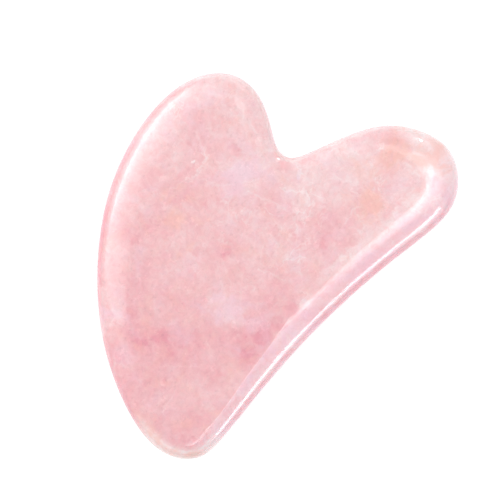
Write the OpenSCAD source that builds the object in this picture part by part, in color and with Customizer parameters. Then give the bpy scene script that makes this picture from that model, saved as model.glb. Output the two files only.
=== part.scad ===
// Gua sha scraper: one flat piece of carved and polished stone, in the shape of a slanted heart.
// Origin: the middle of the outline's box, on the flat back face.
// +X runs along the scraping edge to the wide lobe, +Y to the back edge, +Z out of the upper face.

/* [Size] */
// Length along the scraping edge, from the pointed end to the wide lobe
length = 80; // [76:1:86]
// Width from the scraping edge to the top of the back edge
width = 54; // [51:1:58]
// Thickness between the two flat faces
thickness = 7; // [5:0.5:9]

/* [Edge] */
// Reach of the worked edge in from the outline, as a share of the usual reach
edge_reach = 1; // [0.6:0.05:1]
// Depth that the notch between the lobes is cut beyond the usual
notch_extra = 0; // [-3:0.5:2]

/* [Smoothness] */
// Steps along the outline from one control point to the next
steps = 8; // [4:1:10]
// Bands over the round nose, from the middle line to the bevel
nose_bands = 4; // [3:1:6]
// Bands over the shallow bevel, from the nose to the flat face
bevel_bands = 3; // [2:1:4]

/* [Hidden] */

// Direction in which the notch runs into the stone
notch_dir = [-0.85, -0.53, 0];

// Control points of the outline, anticlockwise: [x, y, reach of the worked edge]
pointed_end = [[-37.5, -5, 6.2], [-41.5, -19, 5], [-36.5, -27, 3.6], [-30, -27, 3.4]];
scraping_edge = [[-6, -24, 5.6], [19, -25.5, 6.1]];
wide_lobe = [[33.5, -28.5, 6.8], [41, -19.5, 7.4], [39, -12, 6], [34, -4.5, 4.2]];
notch = [for (p = [[19, 0.5, 2.9], [17, 2, 2.6], [16, 5, 3]]) p + notch_extra * notch_dir];
top_lobe = [[22, 13, 4.6], [22, 22.5, 4.8], [10.5, 29, 6.4]];
back_edge = [[-12, 24, 7.2], [-29.5, 8.5, 6.2]];
controls = concat(pointed_end, scraping_edge, wide_lobe, notch, top_lobe, back_edge);
count = len(controls);

// Point and direction of a uniform cubic B-spline at t between control points b and c
function spline(a, b, c, d, t) =
    (pow(1 - t, 3) * a + (3 * pow(t, 3) - 6 * t * t + 4) * b
    + (-3 * pow(t, 3) + 3 * t * t + 3 * t + 1) * c + pow(t, 3) * d) / 6;
function spline_dir(a, b, c, d, t) =
    (-pow(1 - t, 2) * a + (3 * t * t - 4 * t) * b + (-3 * t * t + 2 * t + 1) * c + t * t * d) / 2;
function control(i) = controls[(i + count) % count];

// The outline and its directions, before scaling
sites = [for (i = [0:count - 1], k = [0:steps - 1]) [i, k / steps]];
raw = [for (s = sites)
    spline(control(s[0] - 1), control(s[0]), control(s[0] + 1), control(s[0] + 2), s[1])];
raw_dirs = [for (s = sites)
    spline_dir(control(s[0] - 1), control(s[0]), control(s[0] + 1), control(s[0] + 2), s[1])];

// Scaling and centring to the asked length and width
low = [min([for (p = raw) p.x]), min([for (p = raw) p.y])];
high = [max([for (p = raw) p.x]), max([for (p = raw) p.y])];
middle = (low + high) / 2;
kx = length / (high.x - low.x);
ky = width / (high.y - low.y);
outline = [for (p = raw) [kx * (p.x - middle.x), ky * (p.y - middle.y)]];

// Unit vectors that point into the stone from the outline
inward = [for (d = raw_dirs) [-ky * d.y, kx * d.x] / norm([kx * d.x, ky * d.y])];

// The edge's section is two arcs that meet where the surface tilts by bevel_tilt from the face:
// a round nose from the middle line, and a shallow bevel that runs level into the flat face
bevel_tilt = 25;
half = thickness / 2;
least_reach = 1.02 * half * (1 - sin(bevel_tilt)) / cos(bevel_tilt);
reach = [for (p = raw) max(least_reach, p.z * edge_reach * min(kx, ky))];
nose_fall = sin(bevel_tilt) * cos(bevel_tilt) - (1 - sin(bevel_tilt)) * (1 - cos(bevel_tilt));
function nose_radius(s) = (half * sin(bevel_tilt) - s * (1 - cos(bevel_tilt))) / nose_fall;
function bevel_radius(s) = (s - nose_radius(s) * (1 - sin(bevel_tilt))) / sin(bevel_tilt);
tilts = concat([for (k = [0:nose_bands]) 90 - (90 - bevel_tilt) * k / nose_bands],
    [for (k = [1:bevel_bands]) bevel_tilt * (1 - k / bevel_bands)]);

// Distance in from the outline and height above the middle line, where the surface has this tilt
function across(s, tilt) = tilt > bevel_tilt ? nose_radius(s) * (1 - sin(tilt))
    : s - bevel_radius(s) * sin(tilt);
function up(s, tilt) = tilt > bevel_tilt ? nose_radius(s) * cos(tilt)
    : half - bevel_radius(s) * (1 - cos(tilt));

// One closed ring of points round the stone, on the upper side (1) or the back side (-1)
function ring(tilt, side) = [for (i = [0:len(outline) - 1])
    let (p = outline[i] + across(reach[i], tilt) * inward[i])
    [p.x, p.y, half + side * up(reach[i], tilt)]];

module stone() {
    n = len(outline);
    last = len(tilts) - 1;
    points = concat(
        [for (k = [last:-1:0]) each ring(tilts[k], -1)],
        [for (k = [1:last]) each ring(tilts[k], 1)]);
    back_face = [for (i = [0:n - 1]) i];
    upper_face = [for (i = [n - 1:-1:0]) 2 * last * n + i];
    sides = [for (r = [0:2 * last - 1], i = [0:n - 1])
        let (a = r * n + i, b = r * n + (i + 1) % n)
        each [[a, a + n, b], [b, a + n, b + n]]];
    color("pink")
        intersection() {
            polyhedron(points, concat([back_face], sides, [upper_face]));
            translate([-length, -width, -thickness])
                cube([2 * length, 2 * width, 3 * thickness]);
        }
}

stone();
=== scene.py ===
"""The looks of a gua sha scraper: one polished slab of rose quartz on a pale floor.

Everything is in metres, in the frame of the CAD model. MM turns millimetres into metres.
"""
import math

import bpy
import numpy as np
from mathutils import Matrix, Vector, noise


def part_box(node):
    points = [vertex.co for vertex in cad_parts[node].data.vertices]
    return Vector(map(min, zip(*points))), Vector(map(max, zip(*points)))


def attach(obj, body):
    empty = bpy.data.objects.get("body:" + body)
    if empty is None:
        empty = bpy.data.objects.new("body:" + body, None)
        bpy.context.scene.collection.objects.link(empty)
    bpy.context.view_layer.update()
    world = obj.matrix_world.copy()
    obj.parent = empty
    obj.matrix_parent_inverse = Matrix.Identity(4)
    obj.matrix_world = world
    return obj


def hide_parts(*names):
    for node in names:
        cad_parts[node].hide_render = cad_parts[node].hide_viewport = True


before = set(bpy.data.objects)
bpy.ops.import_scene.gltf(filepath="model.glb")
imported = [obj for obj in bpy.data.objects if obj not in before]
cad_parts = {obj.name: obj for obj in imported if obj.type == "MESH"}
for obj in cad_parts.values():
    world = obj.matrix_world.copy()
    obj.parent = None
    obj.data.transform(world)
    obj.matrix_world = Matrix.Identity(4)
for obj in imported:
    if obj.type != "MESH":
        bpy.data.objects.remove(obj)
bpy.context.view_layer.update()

MM = 0.001
NODE = "stone"
low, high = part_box(NODE)
centre = (low + high) / 2
half_thickness = (high.z - low.z) / 2


# --- The stone's mesh -------------------------------------------------------------------------

STEPS = 4                       # new points for each point of the CAD model's outline
NOSE_RINGS = 14                 # rings over the round nose, from its middle to the bevel
BEVEL_RINGS = 22                # rings over the shallow bevel
BEVEL_TILT = math.radians(25)   # the tilt at which the nose turns into the bevel
NOSE_WIDTH = 0.9 * MM           # how far in the nose reaches,
NOSE_SHARE = 0.1                # plus this share of the whole edge's reach
FACE_MIDDLE = np.array((0.0, -3 * MM))      # sees the whole outline
WAVE_DEPTH = 0.006 * MM         # the mean depth of the waves that polishing left
WAVE_SIZE = 9 * MM

# How the bevel meets the flat face, where it is soft and where it is crisp
BEVEL_SPAN = 1.1, 0.9           # its reach, as a share of the CAD model's
BEVEL_POWER = 1.4, 1.0          # how quickly its tilt falls off

# Where the grinding left a crisp crease: place and how far it runs in mm, and the tilt that
# the bevel still has when it meets the flat face, in degrees
CRISP_PLACES = [((-18, -23), 14, 8), ((-25, 9), 12, 7), ((18, 6), 9, 17)]

# How far each ring of a flat face has shrunk towards its middle, close together at the rim
FACE_SHRINKS = 0.006, 0.03, 0.07, 0.12, 0.18, 0.25, 0.32, 0.4, 0.48, 0.56, 0.65, 0.74, 0.84, 0.93
RINGS_PER_THINNING = 3          # after so many rings, half of the points are left out


def cad_loop(height):
    """The CAD vertices at one height, in order round FACE_MIDDLE."""
    points = np.array([v.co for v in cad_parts[NODE].data.vertices])
    loop = points[np.abs(points[:, 2] - height) < 0.001 * MM][:, :2]
    loop = np.unique(np.round(loop, 8), axis=0)
    away = loop - FACE_MIDDLE
    return loop[np.argsort(np.arctan2(away[:, 1], away[:, 0]))]


def matched(loop, other):
    """The other loop, turned so that its points pair with the first one's."""
    turns = [np.roll(other, shift, axis=0) for shift in range(-4, 5)]
    return min(turns, key=lambda turn: np.linalg.norm(turn - loop, axis=1).sum())


def smooth_loop(values, parts):
    """A periodic cubic B-spline through evenly numbered values, with `parts` points for each."""
    n = len(values)
    weight = (4 + 2 * np.cos(2 * np.pi * np.arange(n) / n)) / 6
    knots = np.fft.ifft(np.fft.fft(values, axis=0) / weight[:, None], axis=0).real
    a, b, c, d = (np.roll(knots, shift, axis=0)[:, None, :] for shift in (1, 0, -1, -2))
    t = (np.arange(parts) / parts)[None, :, None]
    curve = (1 - t) ** 3 * a + (3 * t**3 - 6 * t**2 + 4) * b
    curve = curve + (-3 * t**3 + 3 * t**2 + 3 * t + 1) * c + t**3 * d
    return curve.reshape(n * parts, -1) / 6


def between(pair, share):
    """The value at a share of the way from the pair's first value to its second."""
    return pair[0] + (pair[1] - pair[0]) * share


def edge_section(reach, crispness, crease):
    """The edge's section at each point of the outline: a nose and a bevel.

    The nose is a quarter of an ellipse, cut off where it tilts by BEVEL_TILT. The bevel's tilt
    falls from there to the crease's at the flat face. Returns the distance in from the outline
    and the height above the middle, ring by ring.
    """
    nose_end = NOSE_WIDTH + NOSE_SHARE * reach
    span = reach * between(BEVEL_SPAN, crispness) - nose_end
    power = between(BEVEL_POWER, crispness)
    over, climb = [0 * reach], [0 * reach]
    for k in range(BEVEL_RINGS):
        part = (k + 0.5) / BEVEL_RINGS
        slope = np.tan(crease + (BEVEL_TILT - crease) * (1 - part) ** power)
        over.append(over[-1] + span / BEVEL_RINGS)
        climb.append(climb[-1] + slope * span / BEVEL_RINGS)
    shoulder = half_thickness - climb[-1]

    ratio = math.tan(BEVEL_TILT) * nose_end / shoulder
    turn = np.arccos(ratio / (1 - ratio))
    rings = []
    for k in range(NOSE_RINGS):
        t = turn * k / NOSE_RINGS
        across = nose_end * (1 - np.cos(t)) / (1 - np.cos(turn))
        rings.append((across, shoulder * np.sin(t) / np.sin(turn)))
    rings += [(nose_end + a, shoulder + b) for a, b in zip(over, climb)]
    return rings


def creases(points):
    """How crisp the crease is, from 0 where it is soft to 1, and the bevel's tilt there."""
    crispness, tilt = np.zeros(len(points)), np.zeros(len(points))
    for place, size, degrees in CRISP_PLACES:
        # Full within half of its size, and gone at a third beyond it
        gap = np.linalg.norm(points - np.array(place) * MM, axis=1) / (size * MM)
        share = np.clip(1.6 - 1.2 * gap, 0, 1)
        share = share * share * (3 - 2 * share)
        crispness = np.maximum(crispness, share)
        tilt = np.maximum(tilt, share * math.radians(degrees))
    return crispness, tilt


def bridge(faces, outer, inner):
    """Faces between two closed loops, the inner one with as many points or half as many."""
    n = len(inner)
    for j in range(n):
        k = (j + 1) % n
        if len(outer) == n:
            faces.append((outer[j], outer[k], inner[k], inner[j]))
        else:
            a, b, c = outer[2 * j], outer[2 * j + 1], outer[(2 * j + 2) % len(outer)]
            faces += [(a, b, inner[j]), (b, inner[k], inner[j]), (b, c, inner[k])]


def fill_face(verts, faces, rim, z):
    """Closes a flat face with rings that shrink to FACE_MIDDLE and thin out on the way."""
    ring = np.array([verts[i][:2] for i in rim])
    outer = rim
    for k, shrink in enumerate(FACE_SHRINKS):
        step = 2 ** (k // RINGS_PER_THINNING)
        points = FACE_MIDDLE + (ring[::step] - FACE_MIDDLE) * (1 - shrink)
        inner = list(range(len(verts), len(verts) + len(points)))
        verts += [(x, y, z) for x, y in points]
        bridge(faces, outer, inner)
        outer = inner
    hub = len(verts)
    verts.append((*FACE_MIDDLE, z))
    faces += [(outer[j], outer[(j + 1) % len(outer)], hub) for j in range(len(outer))]


def build_stone():
    """The slab: rounded edge rings and two flat faces, joined into one closed mesh."""
    equator = cad_loop(centre.z)
    face_rim = matched(equator, cad_loop(high.z))
    curve = smooth_loop(np.hstack([equator, face_rim]), STEPS)
    outline, inner = curve[:, :2], curve[:, 2:]
    reach = np.linalg.norm(inner - outline, axis=1)
    inward = (inner - outline) / reach[:, None]
    section = edge_section(reach, *creases(outline))

    rings = []
    for over, up in reversed(section[1:]):
        rings.append(np.column_stack([outline + inward * over[:, None], centre.z - up]))
    for over, up in section:
        rings.append(np.column_stack([outline + inward * over[:, None], centre.z + up]))

    n = len(outline)
    verts = [tuple(p) for ring in rings for p in ring]
    loops = [list(range(r * n, (r + 1) * n)) for r in range(len(rings))]
    faces = []
    for below, above in zip(loops, loops[1:]):
        bridge(faces, below, above)
    fill_face(verts, faces, loops[-1], high.z)
    fill_face(verts, faces, loops[0][::-1], low.z)

    mesh = bpy.data.meshes.new("polished_stone")
    mesh.from_pydata(verts, [], faces)
    mesh.update()
    normals = [v.normal.copy() for v in mesh.vertices]
    for v, normal in zip(mesh.vertices, normals):
        v.co += normal * (noise.noise(v.co / WAVE_SIZE) - 1) * WAVE_DEPTH
    mesh.shade_smooth()
    stone = bpy.data.objects.new("polished_stone", mesh)
    bpy.context.scene.collection.objects.link(stone)
    return stone


stone = build_stone()
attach(stone, "root")
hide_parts(NODE)


# --- Materials --------------------------------------------------------------------------------

def linear(red, green, blue):
    """A colour given as 0 to 255 on a screen, as the linear colour that a shader takes."""
    channels = [c / 255 for c in (red, green, blue)]
    return (*[c / 12.92 if c <= 0.04045 else ((c + 0.055) / 1.055) ** 2.4 for c in channels], 1)


class Graph:
    """Short calls that build the node tree of a material or a light. Most return a socket."""

    def __init__(self, owner, shader):
        owner.use_nodes = True
        self.tree = owner.node_tree
        self.shader = self.tree.nodes[shader]

    def feed(self, socket, value):
        """Gives a socket its value: a link from another socket, or a constant."""
        if isinstance(value, bpy.types.NodeSocket):
            self.tree.links.new(value, socket)
        else:
            socket.default_value = value

    def node(self, kind, inputs, **settings):
        """A node with its settings, and with inputs fed by their names or numbers."""
        node = self.tree.nodes.new(kind)
        for name, value in settings.items():
            setattr(node, name, value)
        for key, value in inputs.items():
            self.feed(node.inputs[key], value)
        return node

    def math(self, operation, a, b=0.0, c=0.0):
        return self.node("ShaderNodeMath", {0: a, 1: b, 2: c}, operation=operation).outputs[0]

    def vector(self, operation, a, b=(0, 0, 0), scale=1.0):
        node = self.node("ShaderNodeVectorMath", {0: a}, operation=operation)
        if operation == "SCALE":
            self.feed(node.inputs["Scale"], scale)
        else:
            self.feed(node.inputs[1], b)
        return node.outputs["Value" if operation in ("DISTANCE", "DOT_PRODUCT") else "Vector"]

    def axes(self, vector):
        """The X, Y and Z of a vector."""
        return self.node("ShaderNodeSeparateXYZ", {0: vector}).outputs

    def millimetres(self):
        """Places on the object, in millimetres of the part's frame."""
        place = self.node("ShaderNodeTexCoord", {}).outputs["Object"]
        return self.vector("SCALE", place, scale=1 / MM)

    def noise(self, place, size, detail=2.0, roughness=0.5, output="Fac"):
        inputs = {"Vector": place, "Scale": 1 / size, "Detail": detail, "Roughness": roughness}
        return self.node("ShaderNodeTexNoise", inputs).outputs[output]

    def ramp(self, value, start, end, low=0.0, high=1.0):
        """A smooth step of value from start to end, clamped."""
        inputs = {"Value": value, "From Min": start, "From Max": end, "To Min": low, "To Max": high}
        return self.node("ShaderNodeMapRange", inputs, interpolation_type="SMOOTHSTEP").outputs[0]

    def ridge(self, value, level, outer, inner):
        """A line where value crosses level: 1 within inner of it, and 0 past outer."""
        gap = self.math("ABSOLUTE", self.math("SUBTRACT", value, level))
        return self.ramp(gap, outer, inner)

    def mix(self, share, a, b):
        """The colour a where share is 0 and b where it is 1."""
        node = self.node("ShaderNodeMix", {}, data_type="RGBA")
        for socket, value in zip((node.inputs[0], node.inputs[6], node.inputs[7]), (share, a, b)):
            self.feed(socket, value)
        return node.outputs[2]

    def bands(self, value, stops):
        """A colour ramp through (position, colour) stops."""
        node = self.node("ShaderNodeValToRGB", {"Fac": value})
        elements = node.color_ramp.elements
        while len(elements) < len(stops):
            elements.new(0.5)
        for element, (position, colour) in zip(elements, stops):
            element.position = position
            element.color = colour
        return node.outputs["Color"]


PALE = linear(254, 230, 231)
ROSE = linear(247, 198, 201)
DEEP = linear(239, 166, 177)
SALMON = linear(251, 197, 186)
LILAC = linear(247, 208, 222)

# Clouds in the stone: x, y and size in mm, how much deeper (+) or paler (-) than the rest,
# and how much salmon (+) or lilac (-)
CLOUDS = [
    (-26, -4, 7, 0.14, 0.0),
    (-12, -17, 7, 0.20, -0.1),
    (-3, -15, 6, 0.22, 0.0),
    (-31, -20, 4, 0.10, 0.2),
    (-4, -2, 6, 0.12, 0.0),
    (-22, -10, 7, 0.20, 0.0),
    (9, -1, 5, 0.12, 0.0),
    (14, -14, 5, 0.24, 0.0),
    (22, -14, 5, 0.15, 0.6),
    (11, 18, 6, 0.04, -0.1),
    (33, -11, 6, 0.22, 0.5),
    (-7, 9, 9, 0.03, 0.35),
    (-11, -10, 6, -0.16, -0.5),
    (8, 6, 6, -0.10, -0.4),
    (18, -4, 9, -0.14, 0.0),
    (4, -12, 5, -0.14, 0.0),
    (27, -6, 7, -0.14, 0.1),
    (40, -15, 9, -0.30, 0.6),
    (36, -20, 6, -0.08, 0.5),
    (2, 19, 6, -0.12, 0.0),
    (-20, 5, 5, 0.14, 0.0),
    (-16, 13.5, 4.5, 0.16, 0.0),
]

# Small marks with a sharper edge, listed the same way; the first is a painted highlight
MARKS_AND_PAINTED_HIGHLIGHT = [
    # Painted highlight: a pale spot where the crease's reflection ends, inside the scraping edge
    (-0.5, -19.6, 1.5, -0.3, 0.0),
    (-3.2, -18.6, 2.0, 0.26, 0.0),
    (-6.5, -18.8, 2.2, 0.24, 0.0),
    (-10.5, -18.6, 2.2, 0.24, 0.0),
    (-15, -19, 2.4, 0.16, 0.2),
    (-4, -2, 1.6, 0.16, 0.1),
    (-8, 2, 1.3, 0.14, 0.1),
    (-7, 9, 2.2, 0.08, 0.3),
    (22, -15, 3.0, 0.10, 0.5),
    (11, 10, 1.4, 0.18, 0.1),
    (33, -11.5, 2.5, 0.15, 0.3),
    (-24, -5, 2.0, 0.14, 0.1),
    (-31.6, -20, 2.2, 0.14, 0.2),
    (-12, -11, 3.6, -0.10, -0.3),
    (9, 7, 3.0, -0.10, -0.3),
    (3.7, 14.3, 0.5, -0.45, 0.0),
    (16.2, -1.6, 0.9, -0.36, -0.6),
]

# Healed cracks seen as thin pale lines, and in the last row a painted highlight:
# start x and y, end x and y, half width in mm, how pale
VEINS_AND_PAINTED_HIGHLIGHT = [
    (16.8, 14.3, 15.2, 6.2, 0.5, 0.10),
    (15.2, 6.2, 18.5, 2.0, 0.5, 0.14),
    (30.0, -8.5, 37.0, -18.0, 0.3, 0.17),
    (17.5, 0.8, 16.5, -2.3, 0.25, 0.17),
    (18.8, -14.0, 17.3, -18.8, 0.25, 0.17),
    (3.0, 8.5, 12.0, 1.5, 0.3, 0.14),
    (7.0, 3.0, 11.0, -8.0, 0.3, 0.16),
    (12.0, -1.0, 17.0, -9.0, 0.25, 0.16),
    (9.0, -8.0, 1.0, -17.5, 0.25, 0.14),
    (-2.0, -9.0, 1.5, -17.0, 0.3, 0.13),
    (-28.0, -9.0, -21.0, -15.5, 0.3, 0.12),
    (-34.0, -15.0, -28.0, -13.5, 0.3, 0.13),
    # Painted highlight, no crack: a broad pale band just inside the scraping edge's crease
    (5.0, -18.7, 38.0, -21.5, 1.4, 0.18),
]

# Places where the edge is painted with light or shade: a point of the edge, and how far from it,
# in mm, the paint starts and is full
PAINTED_SHEEN_EDGE = (-29, 7, 3), 9, 4
PAINTED_SHADE_NOSE_SPOT = (-22, 14, 3.5), 13, 7
PAINTED_LIGHT_SALMON_TIP = (-39, -24, 3), 15, 6


class Pattern:
    """The stone's own colour, built up layer by layer.

    Its depth runs from 0, pale, to 1, deep pink, and its hue from -1, lilac, to 1, salmon. The
    layers share their places, which are in millimetres: place itself, warped, which is pushed
    about over centimetres, and ragged, which is pushed about over millimetres.
    """

    def __init__(self, g):
        self.g = g
        self.place = g.millimetres()
        self.warped = self.pushed(9, 9.0)
        self.ragged = self.pushed(1.4, 2.4)
        self.ragged_flat = g.vector("MULTIPLY", self.ragged, (1, 1, 0))
        axes = g.axes(self.place)
        self.x, self.y = axes["X"], axes["Y"]
        self.depth = g.math("MULTIPLY_ADD", self.x, -0.005, 0.44)
        self.hue = 0.0

    def pushed(self, size, reach):
        """Places pushed about by noise of one size."""
        push = self.g.noise(self.place, size, detail=3, output="Color")
        push = self.g.vector("SUBTRACT", push, (0.5, 0.5, 0.5))
        return self.g.vector("ADD", self.place, self.g.vector("SCALE", push, scale=reach))

    def add(self, share, deeper=1.0, warmer=0.0):
        """Adds a layer, in proportion to share."""
        self.depth = self.g.math("MULTIPLY_ADD", share, deeper, self.depth)
        if warmer:
            self.hue = self.g.math("MULTIPLY_ADD", share, warmer, self.hue)

    def near(self, point, outer, inner):
        """1 within inner of a point, and 0 past outer."""
        return self.g.ramp(self.g.vector("DISTANCE", self.place, point), outer, inner)


def add_clouds(p):
    """The large soft clouds, then the small marks and a painted highlight."""
    g = p.g
    thick = g.vector("MULTIPLY", p.warped, (1, 1, 0.4))
    for x, y, size, deeper, warmer in CLOUDS:
        gap = g.vector("DISTANCE", thick, (x, y, 1.4))
        p.add(g.ramp(gap, size * 1.15, size * 0.2), deeper, warmer)
    for x, y, size, deeper, warmer in MARKS_AND_PAINTED_HIGHLIGHT:
        gap = g.vector("DISTANCE", p.ragged_flat, (x, y, 0))
        p.add(g.ramp(gap, size, size * 0.5), deeper, warmer)


def add_grain(p):
    """Mottling and a drift of hue, then blots and grains with ragged edges, then sugary specks."""
    g = p.g
    p.add(g.ramp(g.noise(p.warped, 10, detail=6, roughness=0.72), 0.2, 0.8, -0.2, 0.2))
    tint = g.noise(p.warped, 4, detail=4, roughness=0.6)
    p.hue = g.math("ADD", p.hue, g.ramp(tint, 0.25, 0.75, -0.6, 0.5))
    p.add(g.ramp(g.noise(p.ragged, 3.2, detail=4, roughness=0.6), 0.5, 0.72, 0.0, 0.16))
    grains = g.node("ShaderNodeTexVoronoi", {"Vector": p.ragged, "Scale": 1 / 1.5})
    p.add(g.axes(grains.outputs["Color"])["X"], 0.07)
    p.add(g.ramp(g.noise(p.ragged, 1.2, detail=3, roughness=0.7), 0.3, 0.7, -0.09, 0.09))


def add_veins(p):
    """Pale veils, then the listed cracks and a painted highlight, then a fine net of cracks in the
    wide lobe's half.
    """
    g = p.g
    stretched = g.vector("MULTIPLY", p.warped, (1, 0.45, 0.6))
    veil = g.ridge(g.noise(stretched, 6.5, detail=3, roughness=0.55), 0.5, 0.05, 0.0)
    veil = g.math("MULTIPLY", veil, g.ramp(g.noise(p.place, 12), 0.42, 0.62))
    p.add(veil, -0.12)

    for x1, y1, x2, y2, half_width, paler in VEINS_AND_PAINTED_HIGHLIGHT:
        run = x2 - x1, y2 - y1, 0
        length_squared = run[0] ** 2 + run[1] ** 2
        along = g.vector("SUBTRACT", p.ragged_flat, (x1, y1, 0))
        share = g.vector("DOT_PRODUCT", along, tuple(c / length_squared for c in run))
        share = g.math("MINIMUM", g.math("MAXIMUM", share, 0.0), 1.0)
        gap = g.vector("DISTANCE", along, g.vector("SCALE", run, scale=share))
        line = g.ramp(gap, half_width, half_width * 0.3)
        p.add(g.math("MULTIPLY", line, g.ramp(share, 1.0, 0.6)), -paler)

    stretched = g.vector("MULTIPLY", p.warped, (0.6, 1, 0.8))
    net = g.ridge(g.noise(stretched, 7, detail=5, roughness=0.5), 0.53, 0.014, 0.004)
    net = g.math("MULTIPLY", net, g.ramp(p.x, -14, 6, 0.3, 1.0))
    net = g.math("MULTIPLY", net, g.ramp(g.noise(p.place, 8), 0.45, 0.6))
    p.add(net, -0.22)


def add_edge(p):
    """Painted light and shade on the edge: the bevel and the lobes' rims are painted paler, and the
    nose deeper.

    Returns how level the surface is, which is 1 on the flat faces and 0 on the outline, and
    where the scraping edge's bevel lies.
    """
    g = p.g
    normal = g.axes(g.node("ShaderNodeTexCoord", {}).outputs["Normal"])
    level = g.math("ABSOLUTE", normal["Z"])

    # Painted light: the scraping edge's bevel, found by its tilt, is painted paler and lilac
    bevel = g.math("MULTIPLY", g.ramp(level, 0.999, 0.99), g.ramp(p.y, -12, -20))
    bevel = g.math("MULTIPLY", bevel, g.ramp(p.x, -36, -28))
    p.add(bevel, g.ramp(p.x, -8, 0, -0.25, -0.05), -0.4)
    # Painted sheen: the tilted edge at one place is painted paler and lilac
    p.add(g.math("MULTIPLY", p.near(*PAINTED_SHEEN_EDGE), g.ramp(level, 0.999, 0.98)), -0.22, -0.3)

    # Painted shade: the nose is painted deeper, most where it faces -Y, but not round the lobes'
    # ends, where the rim is painted paler instead
    nose = g.ramp(level, 0.86, 0.6)
    lobes = g.ramp(normal["X"], 0.05, 0.45)
    deeper = g.ramp(normal["Y"], -0.8, 0.5, 0.38, 0.22)
    p.add(nose, g.math("MULTIPLY", deeper, g.math("SUBTRACT", 1.0, lobes)))
    # Painted light: the rim round the lobes' ends is painted paler
    p.add(g.math("MULTIPLY", lobes, g.ramp(level, 0.97, 0.86)), -0.16)

    # Painted shade: the nose is painted deeper still at one place
    p.add(g.math("MULTIPLY", p.near(*PAINTED_SHADE_NOSE_SPOT), nose), 0.3)
    # Painted shade: the steepest part of the edge is painted deeper
    p.add(g.ramp(level, 0.6, 0.2), 0.33)
    # Painted light: the tilted edge round the tip is painted much paler, and tinted salmon
    p.add(g.math("MULTIPLY", p.near(*PAINTED_LIGHT_SALMON_TIP), g.ramp(level, 0.995, 0.9)), -1.0, 0.6)
    return level, bevel


def rose_quartz():
    """Milky rose quartz with a high polish."""
    material = bpy.data.materials.new("rose_quartz")
    g = Graph(material, "Principled BSDF")
    p = Pattern(g)
    add_clouds(p)
    add_grain(p)
    add_veins(p)
    level, bevel = add_edge(p)

    colour = g.bands(p.depth, [(0.0, PALE), (0.5, ROSE), (1.0, DEEP)])
    colour = g.mix(g.ramp(p.hue, 0.0, 1.0, 0.0, 0.7), colour, SALMON)
    colour = g.mix(g.ramp(p.hue, 0.0, -1.0, 0.0, 0.6), colour, LILAC)

    # Painted light: the tilted edge is painted redder, for light that travels through the thin
    # edge, and the scraping edge's bevel a little redder and bluer still
    glow = g.vector("SCALE", (0.025, 0, 0), scale=g.ramp(level, 0.998, 0.9))
    colour = g.vector("ADD", colour, glow)
    colour = g.vector("ADD", colour, g.vector("SCALE", (0.06, 0, 0.02), scale=bevel))

    # Fine grey grain, with a few dark flecks
    value = g.ramp(g.noise(p.ragged, 1.1, detail=5, roughness=0.75), 0.25, 0.75, 0.95, 1.05)
    flecks = g.ramp(g.noise(p.place, 0.6, detail=1), 0.62, 0.76, 0.0, 0.06)
    colour = g.vector("SCALE", colour, scale=g.math("SUBTRACT", value, flecks))
    g.feed(g.shader.inputs["Base Color"], colour)

    # The polish, with a faint ripple
    polish = g.ramp(g.noise(p.place, 3.0, detail=4, roughness=0.7), 0.3, 0.8, 0.2, 0.3)
    g.feed(g.shader.inputs["Roughness"], polish)
    ripple = g.noise(p.place, 2.4, detail=3, roughness=0.45)
    bump = g.node("ShaderNodeBump", {"Height": ripple, "Strength": 1.0, "Distance": 0.003 * MM})
    g.feed(g.shader.inputs["Normal"], bump.outputs["Normal"])
    g.shader.inputs["IOR"].default_value = 1.54
    g.shader.inputs["Coat Weight"].default_value = 1.0
    g.shader.inputs["Coat Roughness"].default_value = 0.06
    g.shader.inputs["Coat IOR"].default_value = 1.5
    g.shader.inputs["Subsurface Weight"].default_value = 0.3
    g.shader.inputs["Subsurface Radius"].default_value = (1.0, 0.45, 0.45)
    g.shader.inputs["Subsurface Scale"].default_value = 1.2 * MM
    return material


stone.data.materials.append(rose_quartz())


# --- Floor, light and camera ------------------------------------------------------------------

FLOOR_HALF = 4.0
LIGHT_DISTANCE = 0.6
CAMERA_HEIGHT = 319 * MM                        # above the middle of the stone
CAMERA_SHIFT = Vector((-0.52, -5.08, 0)) * MM   # from the middle to under the camera
CAMERA_TURN = math.radians(-45)                 # the scraping edge runs up to the right


def make_floor():
    """A white light table, much larger than the stone, so that hardly a shadow shows."""
    material = bpy.data.materials.new("floor")
    g = Graph(material, "Principled BSDF")
    tone = g.ramp(g.noise(g.millimetres(), 4, detail=3), 0.2, 0.8)
    g.feed(g.shader.inputs["Base Color"], g.mix(tone, (0.29, 0.29, 0.29, 1), (0.3, 0.3, 0.3, 1)))
    g.shader.inputs["Roughness"].default_value = 0.8
    g.shader.inputs["Emission Color"].default_value = (1, 1, 1, 1)
    g.shader.inputs["Emission Strength"].default_value = 0.8
    mesh = bpy.data.meshes.new("floor")
    corners = [(x * FLOOR_HALF, y * FLOOR_HALF, 0) for x, y in ((-1, -1), (1, -1), (1, 1), (-1, 1))]
    mesh.from_pydata(corners, [], [(0, 1, 2, 3)])
    mesh.materials.append(material)
    floor = bpy.data.objects.new("floor", mesh)
    floor.location.z = low.z
    bpy.context.scene.collection.objects.link(floor)


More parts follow.
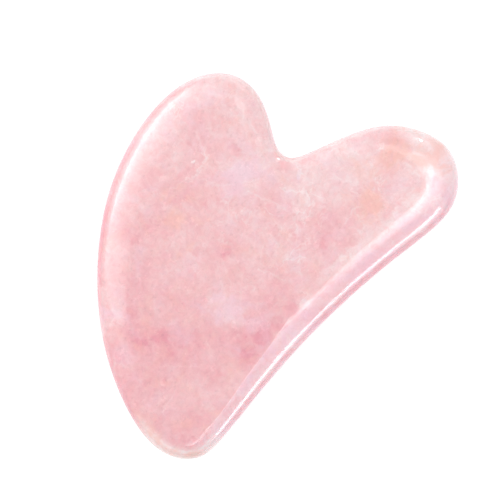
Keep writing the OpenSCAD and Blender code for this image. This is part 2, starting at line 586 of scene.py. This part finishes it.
def panel(name, azimuth, elevation, wide, tall, radiance, fade=1.0, sides=0.0):
    """A rectangular softbox that faces the stone.

    Azimuth 0 is +X and 90 is +Y. wide and tall are the angles that it fills as the stone sees
    it, all in degrees. Its radiance changes to the share fade from its bottom to its top, and
    falls by the share sides from its middle to its sides.
    """
    a, e = math.radians(azimuth), math.radians(elevation)
    away = Vector((math.cos(a) * math.cos(e), math.sin(a) * math.cos(e), math.sin(e)))
    data = bpy.data.lights.new(name, "AREA")
    data.shape = "RECTANGLE"
    data.size = 2 * LIGHT_DISTANCE * math.tan(math.radians(wide / 2))
    data.size_y = 2 * LIGHT_DISTANCE * math.tan(math.radians(tall / 2))
    data.energy = 4 * radiance * data.size * data.size_y

    g = Graph(data, "Emission")
    place = g.axes(g.node("ShaderNodeNewGeometry", {}).outputs["Parametric"])
    rise = g.math("POWER", fade, place["Y"])
    across = g.math("MULTIPLY_ADD", place["X"], 2.0, -1.0)
    dimming = g.math("MULTIPLY_ADD", g.math("MULTIPLY", across, across), -sides, 1.0)
    g.feed(g.shader.inputs["Strength"], g.math("MULTIPLY", rise, dimming))

    light = bpy.data.objects.new(name, data)
    light.location = centre + away * LIGHT_DISTANCE
    light.rotation_euler = away.to_track_quat("Z", "Y").to_euler()
    light.visible_camera = False
    bpy.context.scene.collection.objects.link(light)


def make_camera():
    """Straight above, as in the photograph."""
    data = bpy.data.cameras.new("camera")
    data.lens = 120
    data.sensor_width = 36
    camera = bpy.data.objects.new("camera", data)
    camera.location = centre + CAMERA_SHIFT + Vector((0, 0, CAMERA_HEIGHT))
    camera.rotation_euler = (0, 0, CAMERA_TURN)
    bpy.context.scene.collection.objects.link(camera)
    bpy.context.scene.camera = camera


def make_world(strength):
    """Even white light from all round."""
    world = bpy.data.worlds.new("world")
    world.use_nodes = True
    world.node_tree.nodes["Background"].inputs["Color"].default_value = (1, 1, 1, 1)
    world.node_tree.nodes["Background"].inputs["Strength"].default_value = strength
    bpy.context.scene.world = world
    bpy.context.scene.view_settings.view_transform = "Standard"


make_floor()
make_camera()
make_world(0.34)

# The long highlight on the back edge, and the fainter one below it on the nose
panel("back_high", 103, 60, 60, 46, 6.2, fade=0.03, sides=1.0)
panel("back_low", 101, 22, 58, 30, 0.5, fade=4.5, sides=1.0)
# The sharp line on the scraping edge's nose, and the glow outside it
panel("edge_strip", -83, 39.5, 18, 6, 6)
panel("edge_glow", -83, 25, 18, 24, 0.4, fade=5)
# The broad highlight round the wide lobe's end
panel("side_box", -42, 62, 36, 26, 1.25, sides=0.5)
panel("side_core", -66, 70, 12, 10, 1.4)
# The thin highlights where the bevel meets the flat face
panel("crease_light", -84, 76, 46, 6, 2.3)
panel("lobe_crease", 40, 74, 30, 8, 0.25)
panel("notch_crease", -6, 76, 20, 8, 0.8)
# Weak fill from both ends, and a small lamp that makes the wide lobe sparkle
panel("left_fill", 185, 25, 60, 40, 0.2)
panel("right_fill", 5, 25, 60, 40, 0.2)
panel("spark", 10.5, 37.3, 2, 3, 44)
